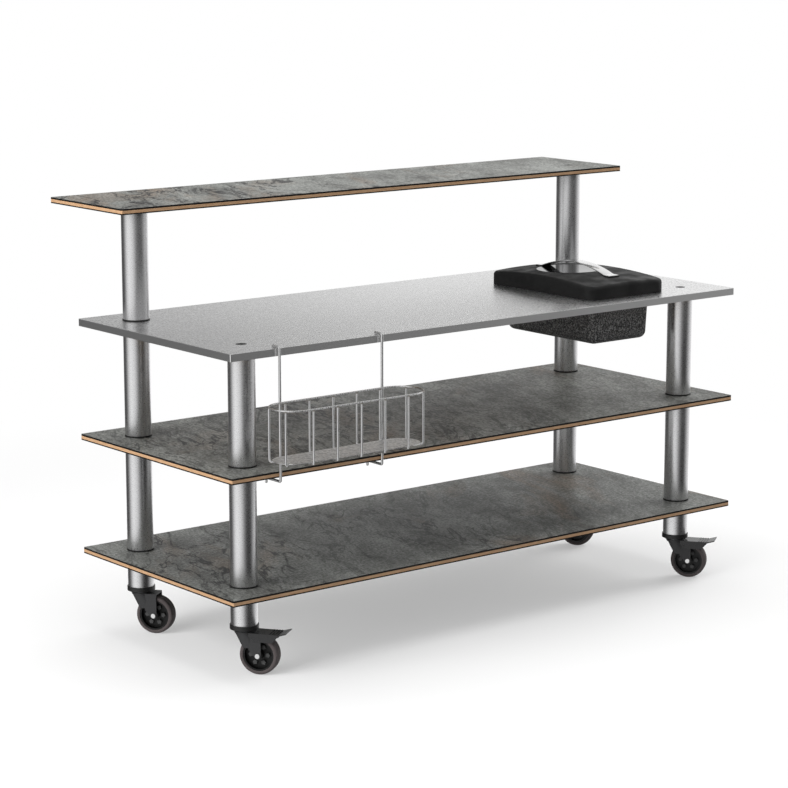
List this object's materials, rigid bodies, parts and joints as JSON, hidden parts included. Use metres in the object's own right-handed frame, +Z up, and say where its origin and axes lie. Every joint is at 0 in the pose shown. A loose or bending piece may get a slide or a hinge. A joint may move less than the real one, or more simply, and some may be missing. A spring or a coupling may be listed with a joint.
{
  "type": "modular bar station",
  "caption": "Bar station on swivel casters: laminated boards and a steel worktop clamped on tube posts, with a hooked wire basket and a lidded tub.",
  "frame": {"origin": "on the floor under the middle of the station's outline", "axes": "+X along the boards to the right, +Y from front to back, +Z up"},
  "size_m": [1.5, 0.8216, 0.9945],
  "materials": {
    "plywood": "oiled cut edge",
    "slate_laminate": "stone-look laminate, satin",
    "satin_steel": "satin",
    "filler_board": "raw",
    "tube_steel": "brushed",
    "black_collar": "moulded",
    "plug_plastic": "moulded",
    "rod_steel": "zinc plated",
    "cap_black": "black oxide",
    "stem_steel": "zinc plated",
    "fork_charcoal": "charcoal powder coat",
    "axle_steel": "polished",
    "wheel_black": "moulded",
    "tread_rubber": "matt",
    "basket_wire": "satin chrome",
    "basket_sheet": "satin",
    "tub_charcoal": "speckled, grained",
    "lid_black": "gloss",
    "handle_steel": "polished"
  },
  "bodies": {
    "frame": {"bottom_board_core": "plywood", "bottom_board_top_laminate": "slate_laminate", "bottom_board_under_laminate": "slate_laminate", "middle_board_core": "plywood", "middle_board_top_laminate": "slate_laminate", "middle_board_under_laminate": "slate_laminate", "top_shelf_core": "plywood", "top_shelf_top_laminate": "slate_laminate", "top_shelf_under_laminate": "slate_laminate", "worktop_skin": "satin_steel", "worktop_core": "filler_board", "front_left_foot_tube": "tube_steel", "front_left_lower_tube": "tube_steel", "front_left_upper_tube": "tube_steel", "front_right_foot_tube": "tube_steel", "front_right_lower_tube": "tube_steel", "front_right_upper_tube": "tube_steel", "rear_left_foot_tube": "tube_steel", "rear_left_lower_tube": "tube_steel", "rear_left_upper_tube": "tube_steel", "rear_left_riser_tube": "tube_steel", "rear_right_foot_tube": "tube_steel", "rear_right_lower_tube": "tube_steel", "rear_right_upper_tube": "tube_steel", "rear_right_riser_tube": "tube_steel", "tube_collars": "black_collar", "tube_plugs": "plug_plastic", "tie_rods": "rod_steel", "cap_nuts": "cap_black", "caster_sockets": "black_collar", "caster_stems": "stem_steel"},
    "front_left_pedal": {"front_left_brake_pedal": "fork_charcoal"},
    "front_left_caster": {"front_left_fork": "fork_charcoal", "front_left_axle": "axle_steel", "front_left_brake_pin": "fork_charcoal"},
    "front_left_wheel": {"front_left_wheel_core": "wheel_black", "front_left_tyre": "tread_rubber"},
    "front_right_pedal": {"front_right_brake_pedal": "fork_charcoal"},
    "front_right_caster": {"front_right_fork": "fork_charcoal", "front_right_axle": "axle_steel", "front_right_brake_pin": "fork_charcoal"},
    "front_right_wheel": {"front_right_wheel_core": "wheel_black", "front_right_tyre": "tread_rubber"},
    "rear_left_caster": {"rear_left_fork": "fork_charcoal", "rear_left_axle": "axle_steel"},
    "rear_left_wheel": {"rear_left_wheel_core": "wheel_black", "rear_left_tyre": "tread_rubber"},
    "rear_right_caster": {"rear_right_fork": "fork_charcoal", "rear_right_axle": "axle_steel"},
    "rear_right_wheel": {"rear_right_wheel_core": "wheel_black", "rear_right_tyre": "tread_rubber"},
    "basket": {"basket_ring": "basket_wire", "basket_uprights": "basket_wire", "basket_floor": "basket_sheet", "basket_hangers": "basket_wire"},
    "tub": {"tub": "tub_charcoal"},
    "lid": {"lid": "lid_black", "lid_handle": "handle_steel"}
  },
  "joints": [
    {"name": "front_left_swivel", "type": "hinge", "parent": "frame", "child": "front_left_caster", "pos_m": [-0.657, -0.2042, 0.098], "axis": [0, 0, 1], "continuous": true},
    {"name": "front_left_roll", "type": "hinge", "parent": "front_left_caster", "child": "front_left_wheel", "pos_m": [-0.63584, -0.23333, 0.044], "axis": [0.809, 0.5878, 0], "continuous": true},
    {"name": "front_left_brake", "type": "hinge", "parent": "front_left_caster", "child": "front_left_pedal", "pos_m": [-0.64231, -0.22443, 0.082], "axis": [0.809, 0.5878, 0], "range_deg": [0, 10]},
    {"name": "front_right_swivel", "type": "hinge", "parent": "frame", "child": "front_right_caster", "pos_m": [0.657, -0.2042, 0.098], "axis": [0, 0, 1], "continuous": true},
    {"name": "front_right_roll", "type": "hinge", "parent": "front_right_caster", "child": "front_right_wheel", "pos_m": [0.67816, -0.23333, 0.044], "axis": [0.809, 0.5878, 0], "continuous": true},
    {"name": "front_right_brake", "type": "hinge", "parent": "front_right_caster", "child": "front_right_pedal", "pos_m": [0.6717, -0.22443, 0.082], "axis": [0.809, 0.5878, 0], "range_deg": [0, 10]},
    {"name": "rear_left_swivel", "type": "hinge", "parent": "frame", "child": "rear_left_caster", "pos_m": [-0.657, 0.2058, 0.098], "axis": [0, 0, 1], "continuous": true},
    {"name": "rear_left_roll", "type": "hinge", "parent": "rear_left_caster", "child": "rear_left_wheel", "pos_m": [-0.63584, 0.17667, 0.044], "axis": [0.809, 0.5878, 0], "continuous": true},
    {"name": "rear_right_swivel", "type": "hinge", "parent": "frame", "child": "rear_right_caster", "pos_m": [0.657, 0.2058, 0.098], "axis": [0, 0, 1], "continuous": true},
    {"name": "rear_right_roll", "type": "hinge", "parent": "rear_right_caster", "child": "rear_right_wheel", "pos_m": [0.67816, 0.17667, 0.044], "axis": [0.809, 0.5878, 0], "continuous": true},
    {"name": "basket_slide", "type": "slide", "parent": "frame", "child": "basket", "axis": [1, 0, 0], "range_m": [-0.06, 1.04]},
    {"name": "tub_lift", "type": "slide", "parent": "frame", "child": "tub", "axis": [0, 0, 1], "range_m": [0, 0.118]},
    {"name": "lid_lift", "type": "slide", "parent": "tub", "child": "lid", "axis": [0, 0, 1], "range_m": [0, 0.09]}
  ]
}
